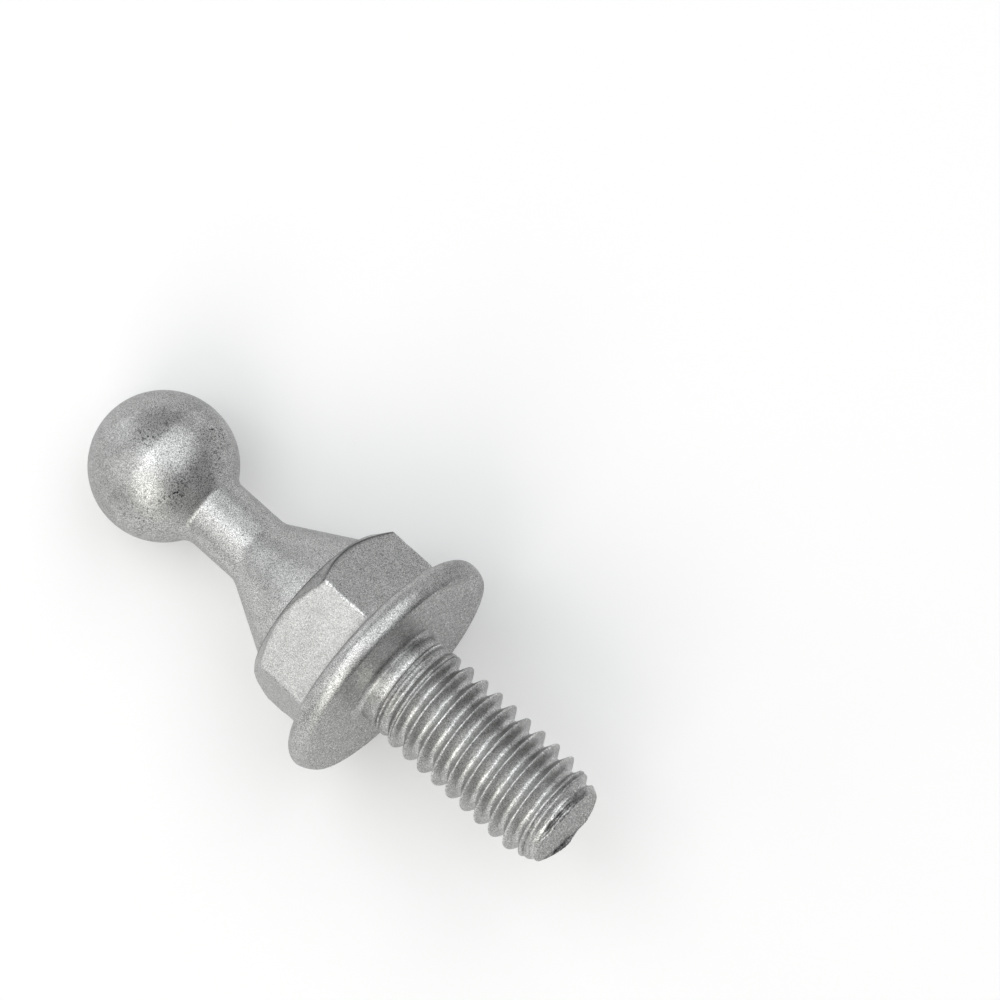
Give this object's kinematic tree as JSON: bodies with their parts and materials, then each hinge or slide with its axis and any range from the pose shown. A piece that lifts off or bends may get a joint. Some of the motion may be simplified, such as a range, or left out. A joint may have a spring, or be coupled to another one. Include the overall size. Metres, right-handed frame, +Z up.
{
  "type": "engine cover mounting bolt",
  "caption": "One-piece steel ball stud: ball, waisted neck with a flared foot, chamfered hexagon, rounded flange and rolled M6 thread. It lies on its ball and the edge of its flange.",
  "frame": {"origin": "centre of the flange's flat seat, on the stud's axis", "axes": "+X runs along the stud from the ball toward the thread, +Z is up and +Y is to the left of +X; the stud lies at rest, so its own axis rises 9.99 degrees above +X toward the thread's end"},
  "size_m": [0.0325, 0.0136, 0.0134],
  "materials": {
    "zinc_coated_steel": "matte silver-grey zinc coating with a fine grain, darker scuffs on the ball and brighter worn thread crests"
  },
  "bodies": {
    "root": {"ball_stud": "zinc_coated_steel"}
  },
  "joints": []
}
